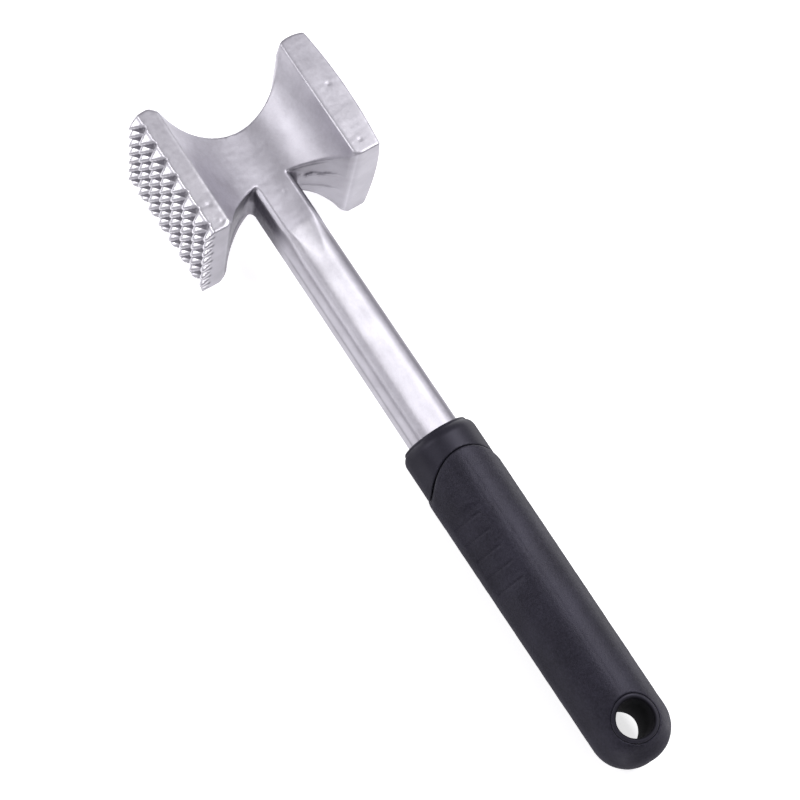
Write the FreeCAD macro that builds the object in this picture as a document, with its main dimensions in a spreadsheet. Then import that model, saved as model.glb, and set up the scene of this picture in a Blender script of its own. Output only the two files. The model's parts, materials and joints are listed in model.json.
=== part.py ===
"""A two-faced meat mallet: a die-cast aluminium head, shank and tang in one piece,
a hard moulded handle core round the tang, and a soft grip moulded over the core.

Each piece is drawn with X from the head along the handle, Y from the toothed face to
the smooth face and Z out of the front, about the middle of the head. It is then laid
on its back, on the plates' rear edges and the underside of the handle's end.
"""

import FreeCAD, Part
import math
import os

import Sketcher

SIZES = {
    # head, all from its middle, where the striking axis meets the shank's axis
    "head_top": 26,
    "head_foot": 24.4,
    "head_depth": 49.8,
    "toothed_rim": 24.5,
    "smooth_rim": 25.0,
    "tooth_root": 31.2,
    "tooth_height": 4.8,
    "tooth_pitch": 6.8,
    "tooth_land": 0.9,
    "teeth_in_row": 8,
    "crown_top": 37.8,
    "crown_radius": 190,
    "top_waist": 16.6,
    "bottom_waist": 13.5,
    "side_waist": 15.7,
    # shank and tang
    "shank_width": 17.2,
    "shank_swell": 0.5,
    "shank_depth": 17.6,
    "shank_corner": 6.8,
    "shank_seat": 6,
    "tang_width": 12,
    "tang_depth": 10,
    "tang_length": 68,
    "notch_length": 8,
    "notch_depth": 2.5,
    "notch_pitch": 20,
    "notch_count": 3,
    # handle
    "handle_start": 116.6,
    "handle_length": 129,
    "grip_diameter": 28.6,
    "grip_wall": 2.2,
    "collar_step": 0.6,
    "collar_round": 4,
    "end_taper": 0.4,
    "end_flat": 1.1,
    "arch_start": 10.1,
    "arch_margin": 0.6,
    # hanging hole
    "hole_diameter": 12.7,
    "hole_inset": 14,
    "boss_wall": 1.8,
    # two flat thumb rests on the grip, half a turn apart, each with cross grooves
    "rest_start": 28.4,
    "rest_length": 32,
    "rest_depth": 0.9,
    "rest_turn": 45,
    "groove_start": 31.6,
    "groove_pitch": 6.4,
    "groove_count": 5,
    "groove_width": 0.8,
    "groove_depth": 0.5,
    # how far a cutting form runs past what it cuts
    "overrun": 2,
}

# Places worked out from the sizes. Every name is written once and used by the forms.
PLACES = {
    "half_depth": "Sizes.head_depth / 2",
    "tooth_tip": "Sizes.tooth_root + Sizes.tooth_height",
    "waist_chord": "Sizes.toothed_rim + Sizes.smooth_rim",
    "waist_square": "Places.waist_chord ^ 2 / 4",
    "top_radius": "(Places.waist_square / Sizes.top_waist + Sizes.top_waist) / 2",
    "bottom_radius": "(Places.waist_square / Sizes.bottom_waist + Sizes.bottom_waist) / 2",
    "side_radius": "(Places.waist_square / Sizes.side_waist + Sizes.side_waist) / 2",
    "past_depth": "Places.half_depth + Sizes.overrun",
    "crown_reach": "hypot(Sizes.head_top; Places.half_depth) + Sizes.overrun",
    "crown_drop": "Sizes.crown_radius - sqrt(Sizes.crown_radius ^ 2 - Places.crown_reach ^ 2)",
    "crown_edge": "Sizes.crown_top - Places.crown_drop",
    "past_crown": "Sizes.crown_top + Sizes.overrun",
    "teeth_run": "Sizes.tooth_pitch * Sizes.teeth_in_row",
    "vee_across": "Places.teeth_run / 2",
    "vee_deep": "Places.teeth_run - Sizes.tooth_pitch - Places.half_depth",
    "vee_tall": "Sizes.tooth_root + Sizes.tooth_height + Sizes.overrun",
    "vee_grow": "(1 + Sizes.overrun / Sizes.tooth_height) / 2",
    "vee_half": "(Sizes.tooth_pitch - Sizes.tooth_land) * Places.vee_grow",
    "vee_left": "Places.vee_across - Places.vee_half",
    "vee_right": "Places.vee_across + Places.vee_half",
    "vee_low": "Places.vee_deep - Places.vee_half",
    "vee_high": "Places.vee_deep + Places.vee_half",
    "shank_half": "Sizes.shank_width / 2",
    "shank_half_end": "Places.shank_half + Sizes.shank_swell / 2",
    "shank_half_depth": "Sizes.shank_depth / 2",
    "shank_flat": "Places.shank_half - Sizes.shank_corner",
    "shank_flat_end": "Places.shank_half_end - Sizes.shank_corner",
    "shank_flat_depth": "Places.shank_half_depth - Sizes.shank_corner",
    "shank_end": "Sizes.handle_start + Sizes.shank_seat",
    "tang_half": "Sizes.tang_width / 2",
    "tang_half_depth": "Sizes.tang_depth / 2",
    "notch_floor": "Places.tang_half - Sizes.notch_depth",
    "past_tang": "Places.tang_half + Sizes.overrun",
    "notch_start": "Places.shank_end + Sizes.notch_length",
    "notch_stop": "Places.notch_start + Sizes.notch_length",
    "grip_radius": "Sizes.grip_diameter / 2",
    "core_radius": "Places.grip_radius - Sizes.grip_wall",
    "collar_radius": "Places.grip_radius - Sizes.collar_step",
    "collar_face": "Places.collar_radius - Sizes.collar_round",
    "collar_bend": "Sizes.handle_start + Sizes.collar_round",
    "end_radius": "Places.grip_radius - Sizes.end_taper",
    "end_round": "Places.end_radius - Sizes.end_flat",
    "core_round": "Places.end_round - Sizes.grip_wall",
    "core_end_radius": "Places.end_radius - Sizes.grip_wall",
    "handle_end": "Sizes.handle_start + Sizes.handle_length",
    "end_bend": "Places.handle_end - Places.end_round",
    "core_end": "Places.handle_end - Sizes.grip_wall",
    "arch_radius": "Places.grip_radius + Sizes.arch_margin",
    "arch_top": "Sizes.handle_start + Sizes.arch_start",
    "arch_centre": "Places.arch_top + Places.arch_radius",
    "hole_centre": "Places.handle_end - Sizes.hole_inset",
    "boss_radius": "Sizes.hole_diameter / 2 + Sizes.boss_wall",
    "rest_floor": "Places.grip_radius - Sizes.rest_depth",
    "rest_first": "Sizes.handle_start + Sizes.rest_start",
    "groove_floor": "Places.rest_floor - Sizes.groove_depth",
    "groove_first": "Sizes.handle_start + Sizes.groove_start - Sizes.groove_width / 2",
    # the lie: the line under the plates' rear edges that also touches the handle's rounded end
    "lie_run": "Places.end_bend - Sizes.head_foot",
    "lie_rise": "Places.half_depth - Sizes.end_flat",
    "lie_reach": "hypot(Places.lie_run; Places.lie_rise)",
    "lie_low": "-(Sizes.head_top * cos(Places.tilt) + Places.half_depth * sin(Places.tilt))",
    "lie_high": "Places.end_bend * cos(Places.tilt) + Sizes.end_flat * sin(Places.tilt) + Places.end_round",
    "lie_x": "-(Places.lie_low + Places.lie_high) / 2",
    "lie_y": "(Places.tooth_tip - Sizes.crown_top) / 2",
    "lie_z": "Sizes.head_foot * sin(Places.tilt) + Places.half_depth * cos(Places.tilt)",
}
TILT = "acos(Places.end_round / Places.lie_reach) - atan2(Places.lie_run; Places.lie_rise)"

doc = FreeCAD.newDocument("meat_mallet")


def make_sheet():
    """Writes the driving sizes, in millimetres and counts, as cells with aliases."""
    made = doc.addObject("Spreadsheet::Sheet", "Sizes")
    for row, (alias, value) in enumerate(SIZES.items(), start=1):
        made.set(f"A{row}", alias)
        made.set(f"B{row}", str(value))
        made.setAlias(f"B{row}", alias)
    doc.recompute()
    return made


def make_places():
    """Keeps the worked-out places, each bound to the sheet by its own expression."""
    made = doc.addObject("App::VarSet", "Places")
    for name in PLACES:
        made.addProperty("App::PropertyFloat", name, "Places")
    made.addProperty("App::PropertyAngle", "tilt", "Places")
    for name, text in PLACES.items():
        made.setExpression(name, text)
    made.setExpression("tilt", TILT)
    doc.recompute()
    return made


sheet = make_sheet()
places = make_places()


def split_sign(term):
    """A term is a size's or a place's name, with or without a minus sign."""
    return (-1, term[1:]) if term.startswith("-") else (1, term)


def number(term):
    """The term's present value, for a first drawing that the constraints then hold."""
    sign, name = split_sign(term)
    if name == "0":
        return 0.0
    return sign * float(getattr(sheet if name in SIZES else places, name))


def bound(term):
    """The term as an expression."""
    sign, name = split_sign(term)
    owner = "Sizes" if name in SIZES else "Places"
    return f"{'-' if sign < 0 else ''}{owner}.{name}"


def origin_part(body, role):
    """One of a body's own origin planes or axes."""
    return next(part for part in body.Origin.OriginFeatures if part.Role == role)


def new_body(name):
    return doc.addObject("PartDesign::Body", name)


def sketch_on(body, name, role, offset=None):
    """A sketch on one of the body's origin planes, moved along its normal by a named place."""
    sketch = body.newObject("Sketcher::SketchObject", name)
    sketch.AttachmentSupport = [(origin_part(body, role), "")]
    sketch.MapMode = "FlatFace"
    if offset:
        sketch.setExpression("AttachmentOffset.Base.z", bound(offset))
    doc.recompute()
    return sketch


def arc_between(start, stop, radius, side):
    """The shorter arc between two points, with its centre to the left (1) or right (-1)."""
    chord = stop - start
    middle = (start + stop) * 0.5
    left = FreeCAD.Vector(-chord.y, chord.x, 0).normalize()
    centre = middle + left * side * math.sqrt(max(radius**2 - chord.Length**2 / 4, 0))
    first, last = (start, stop) if side > 0 else (stop, start)
    turns = [math.atan2(point.y - centre.y, point.x - centre.x) for point in (first, last)]
    circle = Part.Circle(centre, FreeCAD.Vector(0, 0, 1), radius)
    return Part.ArcOfCircle(circle, turns[0], turns[1])


def outline(sketch, corners, arcs=None):
    """Draws a closed outline through corners, each a pair of terms, and binds every one.
    arcs gives, for the side that leaves a corner, its radius and where its centre lies."""
    arcs = arcs or {}
    points = [FreeCAD.Vector(number(x), number(y), 0) for x, y in corners]
    sides = []
    for index, start in enumerate(points):
        stop = points[(index + 1) % len(points)]
        if index in arcs:
            radius, side = arcs[index]
            made = sketch.addGeometry(arc_between(start, stop, number(radius), side))
            sides.append((made, 1, 2) if side > 0 else (made, 2, 1))
        else:
            sides.append((sketch.addGeometry(Part.LineSegment(start, stop)), 1, 2))
    for index, (side, _, last) in enumerate(sides):
        after, first, _ = sides[(index + 1) % len(sides)]
        sketch.addConstraint(Sketcher.Constraint("Coincident", side, last, after, first))
    for index, (x, y) in enumerate(corners):
        side, first, _ = sides[index]
        for kind, term, axis in (("DistanceX", x, -2), ("DistanceY", y, -1)):
            if term == "0":
                sketch.addConstraint(Sketcher.Constraint("PointOnObject", side, first, axis))
            else:
                held = Sketcher.Constraint(kind, -1, 1, side, first, number(term))
                bind(sketch, held, term)
    for index, (radius, _) in arcs.items():
        bind(sketch, Sketcher.Constraint("Radius", sides[index][0], number(radius)), radius)
    doc.recompute()


def bind(sketch, constraint, term):
    """Adds a constraint whose value follows the term."""
    index = sketch.addConstraint(constraint)
    sketch.renameConstraint(index, f"held_{index}")
    sketch.setExpression(f"Constraints.held_{index}", bound(term))


def pad(body, name, sketch, length, midplane=False):
    made = body.newObject("PartDesign::Pad", name)
    made.Profile = sketch
    made.setExpression("Length", bound(length))
    made.Midplane = midplane
    doc.recompute()
    return made


def cut_through(body, name, sketch):
    """Cuts the sketch's area through the whole body, both ways."""
    made = body.newObject("PartDesign::Pocket", name)
    made.Profile = sketch
    made.Type = "ThroughAll"
    made.Midplane = True
    doc.recompute()
    return made


def repeat(body, name, feature, role, length, count):
    """Repeats a cut along one of the body's axes, over a length."""
    made = body.newObject("PartDesign::LinearPattern", name)
    made.Originals = [feature]
    made.Direction = (origin_part(body, role), [""])
    made.setExpression("Length", length)
    made.setExpression("Occurrences", count)
    body.Tip = made
    doc.recompute()
    return made


def turned(name, corners, arcs=None):
    """A body turned about the handle's axis from half of its outline."""
    body = new_body(name)
    sketch = sketch_on(body, f"{name}_profile", "XY_Plane")
    outline(sketch, corners, arcs)
    made = body.newObject("PartDesign::Revolution", f"{name}_turned")
    made.Profile = sketch
    made.ReferenceAxis = (sketch, ["H_Axis"])
    made.Angle = 360
    doc.recompute()
    return body


def joined(kind, name, shapes):
    """A boolean of several forms: Part::MultiFuse or Part::MultiCommon."""
    made = doc.addObject(kind, name)
    made.Shapes = shapes
    doc.recompute()
    return made


def minus(name, base, tool):
    made = doc.addObject("Part::Cut", name)
    made.Base = base
    made.Tool = tool
    doc.recompute()
    return made


def upright_cylinder(name, radius, centre):
    """A cylinder along Z, through the whole handle, about a point on the handle's axis."""
    made = doc.addObject("Part::Cylinder", name)
    made.setExpression("Radius", radius)
    made.setExpression("Height", "2 * Places.arch_radius + 2 * Sizes.overrun")
    made.setExpression("Placement.Base.x", centre)
    made.setExpression("Placement.Base.z", "-Places.arch_radius - Sizes.overrun")
    return made


def head_block():
    """The head without its shank: two square plates joined by a body waisted on four sides."""
    body = new_body("head_block")
    front = sketch_on(body, "front_outline", "XY_Plane")
    corners = [
        ("-head_top", "-tooth_tip"),
        ("head_foot", "-tooth_tip"),
        ("head_foot", "-toothed_rim"),
        ("head_foot", "smooth_rim"),
        ("head_foot", "crown_top"),
        ("-head_top", "crown_top"),
        ("-head_top", "smooth_rim"),
        ("-head_top", "-toothed_rim"),
    ]
    outline(front, corners, {2: ("bottom_radius", -1), 6: ("top_radius", -1)})
    pad(body, "front_pad", front, "head_depth", midplane=True)

    flank = sketch_on(body, "side_waist_outline", "YZ_Plane")
    hollow = [
        ("-toothed_rim", "half_depth"),
        ("smooth_rim", "half_depth"),
        ("smooth_rim", "past_depth"),
        ("-toothed_rim", "past_depth"),
    ]
    outline(flank, hollow, {0: ("side_radius", 1)})
    waist = cut_through(body, "front_waist", flank)
    mirrored = body.newObject("PartDesign::Mirrored", "both_waists")
    mirrored.Originals = [waist]
    mirrored.MirrorPlane = (origin_part(body, "XY_Plane"), [""])
    body.Tip = mirrored
    doc.recompute()

    across = sketch_on(body, "vee_across_outline", "XY_Plane")
    vee = [("-vee_across", "-tooth_root"), ("-vee_right", "-vee_tall"), ("-vee_left", "-vee_tall")]
    outline(across, vee)
    first = cut_through(body, "vee_across_cut", across)
    repeat(body, "vees_across", first, "X_Axis", "Places.teeth_run", "Sizes.teeth_in_row + 1")

    deep = sketch_on(body, "vee_deep_outline", "YZ_Plane")
    vee = [("-tooth_root", "-vee_deep"), ("-vee_tall", "-vee_low"), ("-vee_tall", "-vee_high")]
    outline(deep, vee)
    first = cut_through(body, "vee_deep_cut", deep)
    run = "Places.teeth_run - Sizes.tooth_pitch"
    repeat(body, "vees_deep", first, "Z_Axis", run, "Sizes.teeth_in_row")

    crown = sketch_on(body, "crown_outline", "XY_Plane")
    rim = [
        ("crown_reach", "crown_edge"),
        ("0", "crown_top"),
        ("0", "past_crown"),
        ("crown_reach", "past_crown"),
    ]
    outline(crown, rim, {0: ("crown_radius", 1)})
    dome = body.newObject("PartDesign::Groove", "crowned_face")
    dome.Profile = crown
    dome.ReferenceAxis = (crown, ["V_Axis"])
    dome.Angle = 360
    doc.recompute()
    return body


def rounded_section(sketch, half, flat, half_depth, flat_depth, corner):
    """A rectangle with rounded corners about the middle of the sketch."""
    corners = [
        ("-" + flat, "-" + half_depth),
        (flat, "-" + half_depth),
        (half, "-" + flat_depth),
        (half, flat_depth),
        (flat, half_depth),
        ("-" + flat, half_depth),
        ("-" + half, flat_depth),
        ("-" + half, "-" + flat_depth),
    ]
    outline(sketch, corners, {index: (corner, 1) for index in (1, 3, 5, 7)})


def shank_and_tang():
    """The shank swells slightly from the head to the handle, and ends in a notched tang."""
    body = new_body("shank_and_tang")
    near = sketch_on(body, "shank_at_head", "YZ_Plane")
    sides = ("shank_half_depth", "shank_flat_depth", "shank_corner")
    rounded_section(near, "shank_half", "shank_flat", *sides)
    far = sketch_on(body, "shank_at_handle", "YZ_Plane", "shank_end")
    rounded_section(far, "shank_half_end", "shank_flat_end", *sides)
    shank = body.newObject("PartDesign::AdditiveLoft", "shank")
    shank.Profile = near
    shank.Sections = [far]
    shank.Ruled = True
    doc.recompute()

    section = sketch_on(body, "tang_section", "YZ_Plane", "shank_end")
    corners = [
        ("-tang_half", "-tang_half_depth"),
        ("tang_half", "-tang_half_depth"),
        ("tang_half", "tang_half_depth"),
        ("-tang_half", "tang_half_depth"),
    ]
    outline(section, corners)
    pad(body, "tang", section, "tang_length")

    notches = sketch_on(body, "notch_outline", "XY_Plane")
    for floor, edge in (("notch_floor", "past_tang"), ("-notch_floor", "-past_tang")):
        corners = [
            ("notch_start", floor),
            ("notch_stop", floor),
            ("notch_stop", edge),
            ("notch_start", edge),
        ]
        outline(notches, corners)
    first = cut_through(body, "first_notches", notches)
    run = "Sizes.notch_pitch * (Sizes.notch_count - 1)"
    repeat(body, "all_notches", first, "X_Axis", run, "Sizes.notch_count")
    return body


def grip_outside():
    """The outside of the whole handle: a straight barrel, a slight taper and a rounded end."""
    corners = [
        ("handle_start", "0"),
        ("handle_end", "0"),
        ("handle_end", "end_flat"),
        ("end_bend", "end_radius"),
        ("handle_start", "grip_radius"),
    ]
    return turned("grip_outside", corners, {2: ("end_round", 1)})


def core_inside():
    """The core under the grip, the grip's wall smaller than the outside all round."""
    corners = [
        ("handle_start", "0"),
        ("core_end", "0"),
        ("core_end", "end_flat"),
        ("end_bend", "core_end_radius"),
        ("handle_start", "core_radius"),
    ]
    return turned("core_inside", corners, {2: ("core_round", 1)})


def collar_blank():
    """The core's bare collar, with a rounded front edge."""
    corners = [
        ("handle_start", "0"),
        ("arch_centre", "0"),
        ("arch_centre", "collar_radius"),
        ("collar_bend", "collar_radius"),
        ("handle_start", "collar_face"),
    ]
    return turned("collar_blank", corners, {3: ("collar_round", 1)})


def arch_form():
    """Everything behind the arched line where the grip stops, seen from the front."""
    round_top = upright_cylinder("arch_round", "Places.arch_radius", "Places.arch_centre")
    rest = doc.addObject("Part::Box", "arch_rest")
    rest.setExpression("Length", "Places.handle_end - Places.arch_centre + Sizes.overrun")
    rest.setExpression("Width", "2 * Places.arch_radius")
    rest.setExpression("Height", "2 * Places.arch_radius + 2 * Sizes.overrun")
    rest.setExpression("Placement.Base.x", "Places.arch_centre")
    rest.setExpression("Placement.Base.y", "-Places.arch_radius")
    rest.setExpression("Placement.Base.z", "-Places.arch_radius - Sizes.overrun")
    return joined("Part::MultiFuse", "arch_form", [round_top, rest])


def top_slab(name, length, first, floor):
    """A slab across the top of the handle, from a floor outwards."""
    made = doc.addObject("Part::Box", name)
    made.setExpression("Length", length)
    made.setExpression("Width", "2 * Places.arch_radius")
    made.setExpression("Height", "Places.arch_radius")
    made.setExpression("Placement.Base.x", first)
    made.setExpression("Placement.Base.y", "-Places.arch_radius")
    made.setExpression("Placement.Base.z", floor)
    return made


def thumb_rest(name, turn):
    """One flat with its cross grooves, made on top of the handle and turned about its axis."""
    forms = [top_slab(f"{name}_flat", "Sizes.rest_length", "Places.rest_first", "Places.rest_floor")]
    for index in range(SIZES["groove_count"]):
        place = f"Places.groove_first + {index} * Sizes.groove_pitch"
        label = f"{name}_groove_{index + 1}"
        forms.append(top_slab(label, "Sizes.groove_width", place, "Places.groove_floor"))
    made = joined("Part::MultiFuse", name, forms)
    made.Placement = turned_placement(FreeCAD.Vector(1, 0, 0))
    made.setExpression("Placement.Rotation.Angle", turn)
    doc.recompute()
    return made


def turned_placement(axis):
    """A placement with a turn about an axis, whose angle an expression then sets."""
    return FreeCAD.Placement(FreeCAD.Vector(), FreeCAD.Rotation(axis, 1))


def lay_down(piece, label):
    """Names a finished piece and tilts it onto its resting points, with the origin below."""
    piece.Label = label
    piece.Placement = turned_placement(FreeCAD.Vector(0, 1, 0))
    piece.setExpression("Placement.Base.x", "Places.lie_x")
    piece.setExpression("Placement.Base.y", "Places.lie_y")
    piece.setExpression("Placement.Base.z", "Places.lie_z")
    piece.setExpression("Placement.Rotation.Angle", "Places.tilt")
    return piece


def make_pieces():
    """The three real pieces, each from the same forms, so that they meet face to face."""
    shank = shank_and_tang()
    casting = joined("Part::MultiFuse", "casting", [head_block(), shank])

    outside = grip_outside()
    arch = arch_form()
    boss_bar = upright_cylinder("boss_bar", "Places.boss_radius", "Places.hole_centre")
    boss = joined("Part::MultiCommon", "boss", [outside, boss_bar])
    collar = minus("collar", collar_blank(), arch)
    core_form = joined("Part::MultiFuse", "core_form", [core_inside(), collar, boss])

    hole = upright_cylinder("hole", "Sizes.hole_diameter / 2", "Places.hole_centre")
    room = joined("Part::MultiFuse", "room_in_core", [shank, hole])
    core = minus("core", core_form, room)

    blank = joined("Part::MultiCommon", "grip_blank", [outside, arch])
    shell = minus("grip_shell", blank, core_form)
    rests = [
        thumb_rest("near_rest", "Sizes.rest_turn"),
        thumb_rest("far_rest", "Sizes.rest_turn + 180"),
    ]
    grip = minus("grip", shell, joined("Part::MultiFuse", "both_rests", rests))
    return [
        lay_down(casting, "head_casting"),
        lay_down(core, "handle_core"),
        lay_down(grip, "soft_grip"),
    ]


def check(pieces):
    """Stops if any object failed, or if a piece isn't one valid solid."""
    for item in doc.Objects:
        if "Invalid" in item.State or "Error" in item.State:
            raise RuntimeError(f"{item.Name} failed: {item.State}")
    for piece in pieces:
        shape = piece.Shape
        if shape.isNull() or not shape.isValid() or len(shape.Solids) != 1:
            raise RuntimeError(f"{piece.Label} isn't one valid solid")


pieces = make_pieces()
doc.recompute()
check(pieces)
os.makedirs("parts", exist_ok=True)
for piece in pieces:
    piece.Shape.exportStep(f"parts/{piece.Label}.step")
    print(f"{piece.Label}: {piece.Shape.Volume / 1000:.2f} cm3")
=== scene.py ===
"""A two-faced meat mallet lying on its back: a die-cast aluminium head with its shank and tang,
a hard moulded handle core round the tang, and a soft grip moulded over the core."""

import json
import math

import bmesh
import bpy
import numpy as np
from mathutils import Matrix, Vector


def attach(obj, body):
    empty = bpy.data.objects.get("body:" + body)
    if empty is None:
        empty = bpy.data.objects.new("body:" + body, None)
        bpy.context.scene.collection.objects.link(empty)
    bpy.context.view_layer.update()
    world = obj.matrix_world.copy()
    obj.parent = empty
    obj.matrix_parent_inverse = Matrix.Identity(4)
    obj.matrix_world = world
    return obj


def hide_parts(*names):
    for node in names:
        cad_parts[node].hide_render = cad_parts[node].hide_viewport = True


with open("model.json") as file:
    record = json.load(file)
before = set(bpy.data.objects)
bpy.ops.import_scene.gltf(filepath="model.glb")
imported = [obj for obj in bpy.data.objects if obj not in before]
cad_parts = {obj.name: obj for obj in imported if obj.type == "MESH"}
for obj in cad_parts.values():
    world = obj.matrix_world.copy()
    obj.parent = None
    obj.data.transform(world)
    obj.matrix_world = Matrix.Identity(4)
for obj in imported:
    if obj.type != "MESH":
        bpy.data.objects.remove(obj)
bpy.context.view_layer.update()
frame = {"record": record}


# ---- Head casting ----------------------------------------------------------------------------
# The striking head, its shank and the tang inside the handle are one aluminium die casting.
# Two square plates are joined by a body that is waisted on all four sides; one plate has eight
# rows of eight blunt teeth, the other is slightly crowned. It is tumbled to a satin finish.

# The casting is drawn in millimetres about the middle of the head: u runs down the handle,
# s from the toothed face to the smooth face, and n out of the front. The hanging hole's mount
# says where that drawing lies in the row frame.
MM = 0.001
hole_place = 231.6
hole_mount = next(m for m in frame["record"]["mounts"] if m["name"] == "hanging_hole")
out_of_front = Vector(hole_mount["axis"]).normalized()
across_head = Vector((0, 1, 0))
down_handle = across_head.cross(out_of_front)
head_middle = Vector(hole_mount["pos_m"]) - down_handle * hole_place * MM
lie = Matrix((down_handle, across_head, out_of_front)).transposed().to_4x4()
lie.translation = head_middle

head_top, head_foot, half_depth = 26.0, 24.4, 24.9
toothed_rim, smooth_rim = 24.5, 25.0
crown_top, crown_radius = 37.8, 190.0
tooth_root, tooth_height, tooth_pitch, tooth_land = 31.2, 4.8, 6.8, 0.7
top_waist, bottom_waist, side_waist = 16.6, 13.5, 15.7
shank_half_width, shank_half_depth, shank_corner, shank_swell = 8.5, 9.2, 6.8, 0.25
handle_start, shank_in_handle = 116.6, 6
shank_end = handle_start + shank_in_handle
tang_end = shank_end + 68
tang_half_width, tang_half_depth = 6, 5
notch_first, notch_pitch, notch_half_length, notch_floor = 12, 20, 4, 3.5


def meet(a, b, radius):
    """What two forms share, with the edge between them rounded over."""
    rounded = np.hypot(np.maximum(radius + a, 0), np.maximum(radius + b, 0))
    return np.minimum(-radius, np.maximum(a, b)) + rounded


def join(a, b, radius):
    """Two forms run together, with a fillet between them."""
    rounded = np.hypot(np.maximum(radius - a, 0), np.maximum(radius - b, 0))
    return np.maximum(radius, np.minimum(a, b)) - rounded


def ease(value, low, high):
    """0 below low, 1 above high, and a smooth rise between them."""
    t = np.clip((value - low) / (high - low), 0, 1)
    return t * t * (3 - 2 * t)


def bump(distance, width):
    """A smooth round hump of height 1 about the line where the distance is nothing."""
    return np.exp(-((distance / width) ** 2))


def waves(p, size, seed):
    """Slow random swells of height about 1, from sines in seeded directions."""
    draw = np.random.default_rng(seed)
    total = 0
    for _ in range(7):
        way = draw.normal(size=3)
        way *= draw.uniform(0.7, 1.5) * 2 * math.pi / size / np.linalg.norm(way)
        total = total + np.sin(p @ way + draw.uniform(0, 2 * math.pi))
    return total / 7 * 2


def pits(p, places, radius, depth):
    """Small round dents about some places."""
    sunk = np.zeros(len(p))
    for place, wide, deep in zip(places, radius, depth):
        near = np.abs(p[:, 0] - place[0]) < 3 * wide
        away = np.linalg.norm(p[near] - place, axis=1)
        sunk[near] = np.minimum(sunk[near], -deep * bump(away, wide))
    return sunk


def toward_roots(u, n):
    """How far a place is from the teeth's nearest root, down the handle and across."""
    half = tooth_pitch / 2
    return [half - np.abs(place % tooth_pitch - half) for place in (u, n - half_depth)]


def toothed_face(u, s, n):
    """Blunt four-sided teeth in rows, from two runs of vees that cross."""
    slope = tooth_height / ((tooth_pitch - tooth_land) / 2)
    facets = []
    for from_root in toward_roots(u, n):
        from_root = np.hypot(from_root, 0.4) - 0.25
        facets.append((-s - tooth_root - slope * from_root) / math.hypot(1, slope))
    # the tips stand a little lower towards the handle
    tip = -s - tooth_root - tooth_height - 0.25 + 0.02 * (u + head_top)
    return meet(meet(*facets, 0.85), tip, 0.85)


def waist_radius(depth):
    """The radius of a hollow of a depth that reaches from one plate's rim to the other's."""
    chord = (toothed_rim + smooth_rim) / 2
    return (chord * chord / depth + depth) / 2


def waist(out, s, edge, depth, shift=0.0):
    """Outside a round hollow that is cut from one side of the head."""
    radius = waist_radius(depth)
    middle = (smooth_rim - toothed_rim) / 2 + shift
    return radius - np.hypot(out - edge + depth - radius, s - middle)


def shank(u, s, n):
    """A rounded bar that swells slightly towards the handle. Its front is full at the root and
    trimmed flat beyond it."""
    full = shank_half_depth + (n > 0) * (1.3 + 0.5 * ease(-u, -38, -28))
    side = np.abs(s + 0.15) - shank_half_width - shank_swell * u / shank_end + shank_corner
    front = np.abs(n) - full + shank_corner
    past_corner = np.hypot(np.maximum(side, 0), np.maximum(front, 0))
    bar = past_corner + np.minimum(np.maximum(side, front), 0) - shank_corner
    flat = n - shank_half_depth - 0.9 * ease(-u, -48, -18)
    bar = meet(bar, flat, 0.4 + 1.2 * ease(u, 24, 48))
    return np.maximum(np.maximum(bar, u - shank_end), -u)


def tang(u, s, n):
    """A flat bar with three pairs of notches, which the core grips."""
    bar = np.maximum(np.abs(s) - tang_half_width, np.abs(n) - tang_half_depth)
    bar = np.maximum(bar, np.maximum(u - tang_end, shank_end - 1 - u))
    for index in range(3):
        middle = shank_end + notch_first + notch_pitch * index
        notch = np.maximum(np.abs(u - middle) - notch_half_length, notch_floor - np.abs(s))
        bar = np.maximum(bar, -notch)
    return bar


def casting(u, s, n):
    """The plates, the waisted body between them, the shank and the tang, as one form."""
    # both plates' upper ends are a little domed across their thickness
    domed = np.minimum(np.where(s < 0, 0.03 * (s + 28) ** 2, 0.35 + 0.036 * (s - 29) ** 2), 1.8)
    ends = np.maximum(-u - head_top + domed, u - head_foot)
    plates = meet(ends, np.abs(n) - half_depth, 0.6)
    crown = np.sqrt(u * u + n * n + (s - crown_top + crown_radius) ** 2) - crown_radius
    plates = meet(plates, crown, 0.6)
    plates = meet(plates, toothed_face(u, s, n), 0.25)
    rim = 0.6 + 1.9 * ease(np.abs(u + 0.8), 21.5, 24.5)
    ends = waist(-u, s, head_top, top_waist, -0.75)
    block = meet(plates, meet(ends, waist(u, s, head_foot, bottom_waist), 0.5), rim)
    # the hollow of the front and back runs on down the shank's root, so they lie level
    body = join(block, shank(u, s, n), 4.4 - 3.7 * ease(np.abs(n), 5, 9))
    # the hollow's rim is crisp by the shank, rounder on the plates, and roundest at the back
    worn = 0.05 + 0.25 * ease(np.abs(s), 4, 6.4) + 0.3 * ease(np.abs(s), 12, 20)
    worn = worn + 2.4 * ease(-n, 4, 12) * ease(s, 8, 12)
    body = meet(body, waist(np.abs(n), s, half_depth, side_waist), worn)
    return np.minimum(body, tang(u, s, n))


draw = np.random.default_rng(11)
plate_pits = [(20.3, -28.2, half_depth), (21.8, -26.7, half_depth), (19.6, 29.4, half_depth)]
plate_pits += [(17.6, 1.6, 8.9), (14.5, -27.5, half_depth), (-3.5, 31.4, half_depth)]
pit_places = np.array(plate_pits)
pit_places = np.vstack([pit_places, draw.uniform((-24, -31, -24), (24, 37, 25), (60, 3))])
pit_radius = draw.uniform(0.35, 0.7, len(pit_places))
pit_depth = draw.uniform(0.12, 0.3, len(pit_places))


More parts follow.
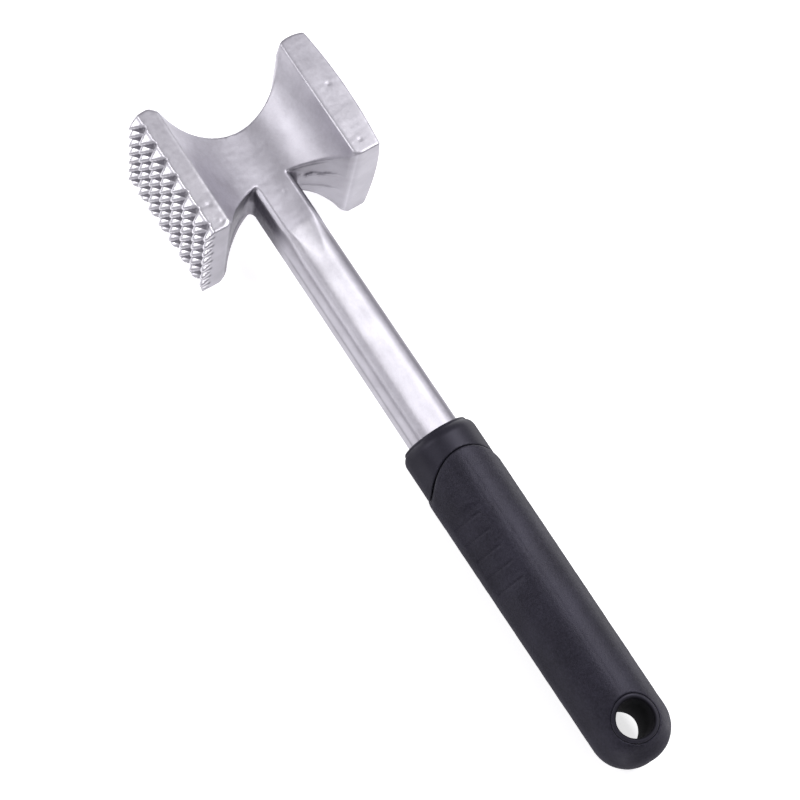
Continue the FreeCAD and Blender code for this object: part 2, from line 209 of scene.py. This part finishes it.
def casting_marks(p):
    """What the die and the trimming leave: flash, a parting line, a trimmed flat and pits."""
    u, s, n = p.T
    height = 0.03 * waves(p, 9, 1) + 0.015 * waves(p, 3.2, 2)
    height *= 1 - 0.6 * ease(u, 28, 34)
    height *= 1 - 0.7 * ease(-s, tooth_root - 1, tooth_root)
    # ragged flash where the two halves of the die met, under the waist beside the shank
    under = ease(u, 9, 10.5) * ease(-u, -24.6, -22)
    jag = 1.2 * waves(p * (0, 1, 0), 5, 3) + 0.5 * waves(p * (0, 1, 0), 1.7, 4)
    flash = n - 2.5 - 0.28 * (s - 9) - jag
    beside = under * ease(s, 8.5, 10)
    height += beside * 0.75 * ease(-s, -25, -17) * bump(flash, 0.5)
    height -= beside * 0.4 * ease(-s, -24, -15) * bump(flash + 1.4, 0.8)
    # the parting line itself, on both sides of the shank
    both = under * ease(np.abs(s), 8.5, 11) * ease(-np.abs(s), -24, -20)
    height += both * 0.45 * bump(n + 5.2, 0.45)
    # a burr along the toothed side of the shank's root
    root = ease(u, 11, 14.5) * ease(-u, -34, -28) * ease(-s, 5, 6)
    height += root * (0.2 * bump(s + 7, 0.4) - 0.12 * bump(s + 5.9, 0.6))
    # beyond the root the front is trimmed level, with a faint step
    trimmed = ease(u + 0.18 * s, 29.6, 32) * ease(-np.abs(s + 0.3), -5.2, -4)
    height += 0.08 * trimmed * ease(-u, -117, -112)
    return height + pits(p, pit_places, pit_radius, pit_depth)


def steps(start, *stretches):
    """Grid places from a start onwards: each stretch is its end and its own spacing."""
    places = [start]
    for end, spacing in stretches:
        count = max(1, round((end - places[-1]) / spacing))
        places += list(np.linspace(places[-1], end, count + 1)[1:])
    return np.array(places)


def straight(p):
    """For a grid that is already in (u, s, n)."""
    return p


def slope_of(form, p):
    """How the form's distance grows along each direction."""
    reach = 0.02
    grown = [form(*(p + step).T) - form(*(p - step).T) for step in np.eye(3) * reach]
    return np.stack(grown, 1) / (2 * reach)


def skin(name, form, marks, grid, turned=straight):
    """A closed mesh of squares over a form, with its marks raised or sunk along the surface.
    form gives the distance outside it; turned takes a place on the grid to (u, s, n)."""
    places = np.stack(np.meshgrid(*grid, indexing="ij"), -1)
    value = form(*np.moveaxis(turned(places), -1, 0))
    solid = value < 0

    # one point for each grid cell that the surface passes through
    a, b, c = (size - 1 for size in value.shape)
    corners = [np.array((i, j, k)) for i in (0, 1) for j in (0, 1) for k in (0, 1)]
    filled = sum(solid[i:i + a, j:j + b, k:k + c].astype(np.int8) for i, j, k in corners)
    cells = np.argwhere((filled > 0) & (filled < 8))
    numbers = np.full((a, b, c), -1)
    numbers[tuple(cells.T)] = np.arange(len(cells))

    total, crossings = np.zeros((len(cells), 3)), np.zeros((len(cells), 1))
    for low in corners:
        for high in corners:
            if (high - low).min() < 0 or (high - low).sum() != 1:
                continue
            first, last = value[tuple((cells + low).T)], value[tuple((cells + high).T)]
            crossed = ((first < 0) != (last < 0))[:, None]
            share = (first / np.where(first == last, 1, first - last))[:, None]
            start, stop = places[tuple((cells + low).T)], places[tuple((cells + high).T)]
            total += np.where(crossed, start + share * (stop - start), 0)
            crossings += crossed
    points = turned(total / crossings)

    # each point is drawn onto the form itself, and then raised or sunk by the marks
    for _ in range(5):
        slope = slope_of(form, points)
        strength = np.maximum((slope ** 2).sum(1), 0.05)
        points = points - np.clip(form(*points.T) / strength, -0.4, 0.4)[:, None] * slope
    slope = slope_of(form, points)
    outward = slope / np.maximum(np.linalg.norm(slope, axis=1), 1e-6)[:, None]
    points = points + outward * marks(points)[:, None]

    # one face for each grid line that crosses the surface
    faces = []
    for axis in range(3):
        one, two = np.eye(3, dtype=int)[(axis + 1) % 3], np.eye(3, dtype=int)[(axis + 2) % 3]
        ahead = np.roll(solid, -1, axis)[:a, :b, :c]
        behind = solid[:a, :b, :c]
        at = np.argwhere(ahead != behind)
        at = at[(at[:, 2] > 0) | (axis == 2)]
        ring = [numbers[tuple((at - step).T)] for step in (0 * one, one, one + two, two)]
        ring = np.stack(ring, 1)
        faces.append(np.where(behind[tuple(at.T)][:, None], ring, ring[:, ::-1]))
    faces = np.concatenate(faces)

    mesh = bpy.data.meshes.new(name)
    mesh.from_pydata((points * MM).tolist(), [], faces.tolist())
    mesh.transform(lie)
    shaped = bmesh.new()
    shaped.from_mesh(mesh)
    bmesh.ops.remove_doubles(shaped, verts=shaped.verts, dist=1e-6)
    for face in shaped.faces:
        face.smooth = True
    shaped.to_mesh(mesh)
    shaped.free()
    piece = bpy.data.objects.new(name, mesh)
    bpy.context.scene.collection.objects.link(piece)
    return piece


# The grid's lines fall evenly on every tooth, so all the teeth come out alike.
fine = tooth_pitch / 12
head_rows = (np.arange(-48, 46) - 0.5) * fine
bar_rows = steps(head_rows[-1], (32, 0.6), (handle_start, 1.2), (tang_end + 2, 1.5))
casting_grid = (
    np.append(head_rows, bar_rows[1:]),
    steps(-37, (-30.8, 0.38), (-9.8, 0.58), (9.8, 0.45), (39, 0.58)),
    half_depth + (np.arange(-90, 4) - 0.5) * fine,
)
head = skin("head_casting_cast", casting, casting_marks, casting_grid)


class Sock:
    """One shader socket, so that shader maths reads as Python."""

    tree = None

    def __init__(self, socket):
        self.socket = socket

    @classmethod
    def add(cls, output, kind, settings, inputs):
        """The output of a new node of a type, with the node's settings made first and then its
        sockets' values or links."""
        made = cls.tree.nodes.new(kind)
        for key, value in settings.items():
            setattr(made, key, value)
        for key, value in inputs.items():
            if isinstance(value, Sock):
                cls.tree.links.new(value.socket, made.inputs[key])
            else:
                made.inputs[key].default_value = value
        return cls(made.outputs[output])

    @classmethod
    def maths(cls, kind, first, second):
        return cls.add(0, "ShaderNodeMath", {"operation": kind}, {0: first, 1: second})

    def __add__(self, other):
        return self.maths("ADD", self, other)

    def __radd__(self, other):
        return self.maths("ADD", other, self)

    def __sub__(self, other):
        return self.maths("SUBTRACT", self, other)

    def __rsub__(self, other):
        return self.maths("SUBTRACT", other, self)

    def __mul__(self, other):
        return self.maths("MULTIPLY", self, other)

    def __rmul__(self, other):
        return self.maths("MULTIPLY", other, self)

    def between(self, low, high):
        """0 below low, 1 above high, smooth between."""
        inputs = {"Value": self, "From Min": low, "From Max": high}
        settings = {"interpolation_type": "SMOOTHSTEP", "clamp": True}
        return self.add("Result", "ShaderNodeMapRange", settings, inputs)

    def mixed(self, first, second):
        """A colour that goes from the first to the second as this value goes from 0 to 1."""
        settings = {"data_type": "RGBA", "clamp_factor": True}
        # on a colour mix, sockets 6 and 7 are its two colours and output 2 is the mixed one
        return self.add(2, "ShaderNodeMix", settings, {0: self, 6: first, 7: second})


def colour(red, green, blue):
    """A solid colour, as a shader socket takes it."""
    return (red, green, blue, 1.0)


def noise(place, size, detail=2.0, roughness=0.5):
    """Random cloudiness from 0 to 1, with lumps of a size in millimetres."""
    inputs = {"Vector": place, "Scale": 1 / (size * MM), "Detail": detail, "Roughness": roughness}
    return Sock.add("Fac", "ShaderNodeTexNoise", {"noise_dimensions": "3D"}, inputs)


def start_material(name):
    """A new node material, with its main shader, and the drawing's own coordinates."""
    made = bpy.data.materials.new(name)
    made.use_nodes = True
    Sock.tree = made.node_tree
    shader = next(node for node in made.node_tree.nodes if node.type == "BSDF_PRINCIPLED")
    upright = lie.inverted()
    turned_back = {"Location": upright.translation, "Rotation": upright.to_euler()}
    turned_back["Vector"] = Sock.add("Object", "ShaderNodeTexCoord", {}, {})
    place = Sock.add("Vector", "ShaderNodeMapping", {"vector_type": "POINT"}, turned_back)
    return made, shader, place


def feed(shader, **inputs):
    """Sets or links the main shader's sockets by name."""
    for key, value in inputs.items():
        socket = shader.inputs[key.replace("_", " ")]
        if isinstance(value, Sock):
            Sock.tree.links.new(value.socket, socket)
        else:
            socket.default_value = value


def roughened(height, depth, strength=1.0):
    """A surface normal from a height of 0 to 1, with its depth in millimetres."""
    inputs = {"Height": height, "Distance": depth * MM, "Strength": strength}
    return Sock.add("Normal", "ShaderNodeBump", {}, inputs)


def per_point(piece, name, worked_out):
    """Stores on each point of a piece a number from 0 to 1, worked out from its drawn place."""
    upright = np.array(lie.inverted())
    places = np.array([point.co for point in piece.data.vertices])
    drawn = (places @ upright[:3, :3].T + upright[:3, 3]) / MM
    layer = piece.data.attributes.new(name, "FLOAT", "POINT")
    layer.data.foreach_set("value", worked_out(drawn).astype(np.float32))


def stored(name):
    """The number that per_point stored under a name."""
    return Sock.add("Fac", "ShaderNodeAttribute", {"attribute_name": name}, {})


def painted_shade(p):
    """Painted shade, 1 deep in the corners round the shank's root and between the teeth, part way
    under the head and down the shank's sides, and 0 out on the open surfaces."""
    u, s, n = p.T
    front = waist(np.abs(n), s, half_depth, side_waist)
    foot, bar = np.abs(waist(u, s, head_foot, bottom_waist)), np.abs(shank(u, s, n))
    root = ease(-bar, -5, 0) * ease(-foot, -5, 0)
    root = np.maximum(root, 0.9 * ease(-u, -40, -25) * ease(-bar, -1, 0))
    root *= ease(u, 9, 12) * ease(-u, -42, -27) * ease(-front, 0.4, 2.2)
    # painted shade under the waist, along the edge of its hollow, in the front hollow's middle,
    # and on the plates' lower ends
    under = ease(-foot, -1.5, -0.2) * ease(u, 6, 11) * ease(-front, 0.2, 1)
    under *= ease(-u, -30, -26) * (0.72 - 0.32 * ease(s, 0, 20))
    edge = 0.9 * ease(-foot, -1, 0) * ease(s, 7, 9) * ease(-s, -24, -14) * bump(front + 1.7, 1.2)
    middle = 0.2 * bump(s, 9) * ease(u, -16, 4) * ease(-u, -32, -29.6) * ease(front, -0.4, -0.1)
    ends = 0.3 * ease(u, 23.6, 24.2) * ease(-u, -27, -25) * ease(np.abs(s), 9.5, 11)
    # painted shade on the shank's sides, and a thin painted dark line low on the toothed one
    sides = 0.6 * ease(s, 3, 5.5) + 0.2 * ease(-s, 5.5, 7) + 0.45 * (s < 0) * bump(n - 2.5, 1.1)
    sides *= ease(-bar, -1, 0) * ease(u, 29, 42)
    root = np.max([root, under, edge, middle, ends, sides], axis=0)
    # painted shade between the teeth, and on their sides that face down the handle
    teeth = ease(-s - tooth_root, -0.4, 0.2)
    gaps = ease(s + tooth_root, -2.6, 0.2)
    ahead, across = toward_roots(u, n)
    shaded = ease(u % tooth_pitch / tooth_pitch, 0.48, 0.56) * ease(across - ahead, 0, 0.5)
    return np.clip(root + teeth * (0.75 * gaps * ease(across - ahead, -1, 0.5) + shaded), 0, 1)


def polish_and_highlight(p):
    """1 on the teeth's outer ends and on their sides that face out of the front and back, and
    part way on the shank's trimmed front and along the plates' front and back edges. The tooth
    ends and the trimmed front are rubbed brighter; the tooth sides are a painted highlight, and
    the edges carry a painted sheen that grows towards the foot and towards the toothed face."""
    u, s, n = p.T
    front = ease(u + 0.2 * s, 29.8, 31.6) * ease(-np.abs(s + 0.9), -4.9, -3.5) * ease(n, 5, 7)
    front *= 0.5 - 0.45 * ease(u, 50, 110)
    ahead, across = toward_roots(u, n)
    # painted highlight on the teeth's sides that face out of the front and back
    facing = ease(ahead - across, 0, 0.5) * ease(-s - tooth_root, 0.5, 1.2)
    # painted sheen on the plates' edge strips, growing towards the foot and towards the toothed
    # face
    strips = 0.3 * ease(np.abs(n), 24.2, 24.7) * (ease(u, -22, 22) + ease(-s, 0, 9))
    return np.clip(front + strips + np.maximum(ease(-s - tooth_root, 1.8, 3.6), facing), 0, 1)


# Each point of the head stores its painted shade, and its polish with painted highlights.
per_point(head, "painted_shade_level", painted_shade)
per_point(head, "polish_and_highlight", polish_and_highlight)

metal, shader, place = start_material("satin_cast_aluminium")
cloud = noise(place, 9, 3.0)
mottle = noise(place, 1.3, 3.0)
grain = noise(place, 0.32, 2.0)
polish_and_highlight_level, sunk = stored("polish_and_highlight"), stored("painted_shade_level")
tone = (cloud * 0.5 + mottle * 0.3 + grain * 0.2).between(0.3, 0.7)
satin = tone.mixed(colour(0.485, 0.47, 0.515), colour(0.62, 0.605, 0.66))
bright = tone.mixed(colour(0.70, 0.685, 0.735), colour(0.82, 0.805, 0.85))
# the stored polish lightens the metal where it is rubbed brighter and where a highlight is
# painted
unshaded = polish_and_highlight_level.mixed(satin, bright)
feed(
    shader,
    # the stored painted shade darkens the metal towards a near-black grey
    Base_Color=(sunk * (0.75 + 0.4 * mottle)).mixed(unshaded, colour(0.10, 0.092, 0.115)),
    Metallic=1.0,
    Roughness=0.46 + 0.1 * mottle - 0.18 * polish_and_highlight_level,
    Normal=roughened(grain * 0.6 + mottle * 0.4, 0.05, 0.7),
)
head.data.materials.append(metal)
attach(head, "root")
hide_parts("head_casting")


# ---- Handle core -----------------------------------------------------------------------------
# The hard core is moulded in charcoal plastic round the tang. It shows as the collar ahead of
# the grip and as the rounded lip of the hanging hole, and it carries the soft grip.

grip_radius, grip_wall, collar_radius, collar_round = 14.3, 2.2, 13.7, 4.0
handle_end, end_round, end_taper = 245.6, 12.8, 0.4
end_bend = handle_end - end_round
arch_start, arch_radius = handle_start + 10.1, grip_radius + 0.6
arch_centre = arch_start + arch_radius
hole_radius, boss_radius, hole_lip = 6.35, 8.15, 1.25


def handle_outside(u, out, inset):
    """The whole handle's turned outside, or the same form a little inside it."""
    taper = end_taper / (end_bend - handle_start)
    barrel = (out - (grip_radius - inset) + taper * (u - handle_start)) / math.hypot(1, taper)
    return meet(barrel, u - handle_end + inset, end_round - inset)


def behind_arch(u, s):
    """Behind the arched line where the grip stops, the same on the front and the back."""
    return np.hypot(np.minimum(u - arch_centre, 0), s) - arch_radius


def hole_wall(u, s, radius):
    """Outside the hanging hole, or a wider hole on the same axis."""
    return radius - np.hypot(u - hole_place, s)


def core_solid(u, s, n):
    """The core before it is bored: inside the grip, the bare collar, and the hole's boss."""
    out = np.hypot(s, n)
    inside = np.maximum(handle_outside(u, out, grip_wall), handle_start - u)
    collar = meet(out - collar_radius, handle_start - u, collar_round)
    collar = meet(collar, 0.3 - behind_arch(u, s), 0.2)
    boss = meet(handle_outside(u, out, 0.05), -hole_wall(u, s, boss_radius - 0.05), 0.3)
    return np.minimum(np.minimum(inside, collar), boss)


def core(u, s, n):
    """The core with its hanging hole, fitted round the shank's end and the tang."""
    bored = meet(core_solid(u, s, n), hole_wall(u, s, hole_radius), hole_lip)
    return np.maximum(bored, -np.minimum(shank(u, s, n), tang(u, s, n)))


def core_marks(p):
    """Slight sink where the thick plastic cooled."""
    return 0.02 * waves(p, 7, 21)


def about_axis(p):
    """From a place down the handle, an angle from the front and a radius, to (u, s, n)."""
    u, turn, out = np.moveaxis(p, -1, 0)
    return np.stack([u, out * np.sin(turn), out * np.cos(turn)], -1)


def full_turn(count):
    """Angles once round the handle, both ends at the front."""
    return np.linspace(0, 2 * math.pi, count + 1)


core_grid = (
    steps(handle_start - 1, (124, 0.4), (143, 0.45), (222, 2.0), (241, 0.45), (244.5, 0.6)),
    full_turn(210),
    steps(-0.3, (9.3, 0.6), (14.9, 0.4)),
)
handle_core = skin("handle_core_moulded", core, core_marks, core_grid, about_axis)


def in_the_hole(p):
    """1 on the hanging hole's wall, fading out over its lip."""
    u, s, n = p.T
    return ease(hole_wall(u, s, hole_radius + 1.2), 0, 1.1)


def low_side(p):
    """1 round the handle's lower half and its end, where the mould's texture is coarser."""
    u, s, n = p.T
    return np.maximum(ease(-n / np.maximum(np.hypot(s, n), 1), -0.8, -0.2), ease(u, 238, 244))


per_point(handle_core, "hole", in_the_hole)
per_point(handle_core, "low", low_side)

hard, shader, place = start_material("hard_charcoal_plastic")
cloud = noise(place, 12, 2.0)
speck = noise(place, 0.5, 3.0)
grain = noise(place, 0.22, 2.0)
tone = (cloud * 0.6 + speck * 0.4).between(0.3, 0.7)
charcoal = tone.mixed(colour(0.010, 0.0095, 0.0145), colour(0.019, 0.018, 0.0265))
# Inside the hanging hole the charcoal is painted near black, as painted shade in the hole, and
# made rougher.
feed(
    shader,
    Base_Color=stored("hole").mixed(charcoal, colour(0.002, 0.002, 0.003)),
    Metallic=0.0,
    Roughness=(0.4 + 0.14 * speck + 0.46 * stored("hole")) + 0.4 * stored("low"),
    Specular_IOR_Level=0.38,
    Specular_Tint=colour(0.84, 0.81, 1.0),
    Normal=roughened(grain * 0.5 + speck * 0.5, 0.03, 0.7),
)
handle_core.data.materials.append(hard)
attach(handle_core, "root")
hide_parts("handle_core")


# ---- Soft grip -------------------------------------------------------------------------------
# A soft rubbery skin, moulded over the core behind the arched line. Two shallow thumb rests
# half a turn apart carry five cross grooves each, and the mould's halves meet along the front.

rest_turns = (math.radians(-45), math.radians(135))
rest_floor, rest_first, rest_last = 13.4, 144.6, 176.6
groove_turns, groove_depth = (-47, 133), 0.36
groove_places = [148.2 + 6.4 * index for index in range(5)]
parting_turn = 1.5


def grip(u, s, n):
    """The sleeve's outside with its thumb rests, less the core that it is moulded over."""
    out = np.hypot(s, n)
    shell = handle_outside(u, out, 0.0)
    for turn in rest_turns:
        towards = s * math.sin(turn) + n * math.cos(turn)
        ends = ease(rest_first + 1.5 - u, 0, 3) + ease(u, rest_last - 5, rest_last + 2)
        shell = meet(shell, towards - rest_floor - 1.1 * ends, 1.5)
    shell = meet(shell, behind_arch(u, s), 0.3)
    shell = meet(shell, hole_wall(u, s, boss_radius), 0.25)
    return np.maximum(shell, -core_solid(u, s, n))


draw = np.random.default_rng(5)
speck_count, speck_out = 90, 14.2
speck_turn = draw.uniform(0, 2 * math.pi, speck_count)
speck_place = draw.uniform(130, 240, speck_count)
speck_across, speck_up = speck_out * np.sin(speck_turn), speck_out * np.cos(speck_turn)
speck_places = np.stack([speck_place, speck_across, speck_up], 1)
speck_radius = draw.uniform(0.3, 0.55, speck_count)
speck_depth = draw.uniform(0.04, 0.12, speck_count)


def grip_marks(p):
    """Cross grooves in the thumb rests, the mould's parting line, and small pits."""
    u, s, n = p.T
    turn = np.degrees(np.arctan2(s, n))
    outer = ease(np.hypot(s, n), 12.6, 13.1)
    height = 0.03 * waves(p, 8, 31) + 0.02 * waves(p, 3, 32)
    for middle in groove_turns:
        off = np.abs((turn - middle + 180) % 360 - 180)
        for groove in groove_places:
            cut = outer * ease(-off, -25, -22.5) * bump(u - groove, 0.38) ** 1.5
            height -= groove_depth * cut
    parting = np.abs(turn - parting_turn)
    parting = np.minimum(parting, np.abs(parting - 180))
    height -= 0.06 * outer * bump(parting / 1.2 + 0.15 * waves(p * (1, 0, 0), 9, 33), 1)
    return height + pits(p, speck_places, speck_radius, speck_depth)


grip_grid = (
    steps(125.5, (143, 0.4), (145.5, 0.7), (177, 0.34), (222, 1.4), (241, 0.55), (246.3, 0.6)),
    full_turn(180),
    steps(-0.3, (9.3, 0.6), (15.3, 0.4)),
)
soft_grip = skin("soft_grip_moulded", grip, grip_marks, grip_grid, about_axis)

per_point(soft_grip, "low", low_side)

rubber, shader, place = start_material("soft_touch_charcoal")
cloud = noise(place, 14, 3.0)
speck = noise(place, 0.9, 4.0, 0.65)
grain = noise(place, 0.3, 2.0)
tone = (cloud * 0.45 + speck * 0.55).between(0.32, 0.68)
feed(
    shader,
    Base_Color=tone.mixed(colour(0.007, 0.0066, 0.0105), colour(0.023, 0.0216, 0.033)),
    Metallic=0.0,
    Roughness=0.35 + 0.24 * speck + 0.42 * stored("low"),
    Specular_IOR_Level=0.38,
    Specular_Tint=colour(0.84, 0.81, 1.0),
    Normal=roughened(grain * 0.4 + speck * 0.6, 0.16, 1.0),
)
soft_grip.data.materials.append(rubber)
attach(soft_grip, "root")
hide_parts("soft_grip")


# ---- Floor, light and camera -----------------------------------------------------------------
# A plain pale floor under the mallet, which glows a little like a light table. A broad soft light
# stands on the smooth face's side and a smaller one beyond the toothed face, and the camera looks
# down on the front.

floor_mesh = bpy.data.meshes.new("floor")
floor_reach, floor_level = 6.0, -0.0005
floor_corners = [
    (across * floor_reach, along * floor_reach, floor_level)
    for across, along in ((-1, -1), (1, -1), (1, 1), (-1, 1))
]
floor_mesh.from_pydata(floor_corners, [], [(0, 1, 2, 3)])
floor = bpy.data.objects.new("floor", floor_mesh)
bpy.context.scene.collection.objects.link(floor)
pale, shader, place = start_material("pale_floor")
feed(
    shader,
    Base_Color=noise(place, 400, 1.0).mixed(colour(0.90, 0.90, 0.90), colour(0.92, 0.92, 0.92)),
    Roughness=0.9,
    Emission_Color=colour(1.0, 1.0, 1.0),
    Emission_Strength=0.7,
)
floor_mesh.materials.append(pale)


def in_row_frame(u, s, n):
    """A drawn place in the row frame, in metres."""
    return lie @ Vector((u * MM, s * MM, n * MM))


def soft_light(name, place, aim, wide, tall, power):
    """A rectangular studio light at a drawn place, turned to face another."""
    lamp = bpy.data.lights.new(name, "AREA")
    lamp.shape, lamp.size, lamp.size_y, lamp.energy = "RECTANGLE", wide, tall, power
    made = bpy.data.objects.new(name, lamp)
    made.location = in_row_frame(*place)
    facing = (in_row_frame(*aim) - made.location).to_track_quat("-Z", "Y")
    made.rotation_mode = "QUATERNION"
    made.rotation_quaternion = facing
    bpy.context.scene.collection.objects.link(made)


soft_light("key_light", (110, 430, 660), (120, 0, 0), 0.34, 0.5, 4.2)
soft_light("head_light", (-250, -490, 530), (-20, -10, 10), 0.26, 0.26, 1.7)

world = bpy.data.worlds.new("studio")
world.use_nodes = True
surroundings = world.node_tree.nodes["Background"]
surroundings.inputs["Color"].default_value = colour(0.96, 0.93, 1.0)
surroundings.inputs["Strength"].default_value = 0.34
bpy.context.scene.world = world

camera_place = (243.8, -197.9, 672.3)
camera_right, camera_ahead = (0.544, 0.83, 0.124), (-0.202, 0.273, -0.941)
ahead = (lie.to_3x3() @ Vector(camera_ahead)).normalized()
right = (lie.to_3x3() @ Vector(camera_right)).normalized()
right = (right - ahead * right.dot(ahead)).normalized()
above = right.cross(ahead)
lens = bpy.data.cameras.new("camera")
lens.sensor_width = 36
lens.lens = 2.63375 * lens.sensor_width
lens.clip_start, lens.clip_end = 0.05, 20
camera = bpy.data.objects.new("camera", lens)
turned_camera = Matrix((right, above, -ahead)).transposed().to_4x4()
turned_camera.translation = in_row_frame(*camera_place)
camera.matrix_world = turned_camera
bpy.context.scene.collection.objects.link(camera)
bpy.context.scene.camera = camera
bpy.context.scene.view_settings.view_transform = "Standard"
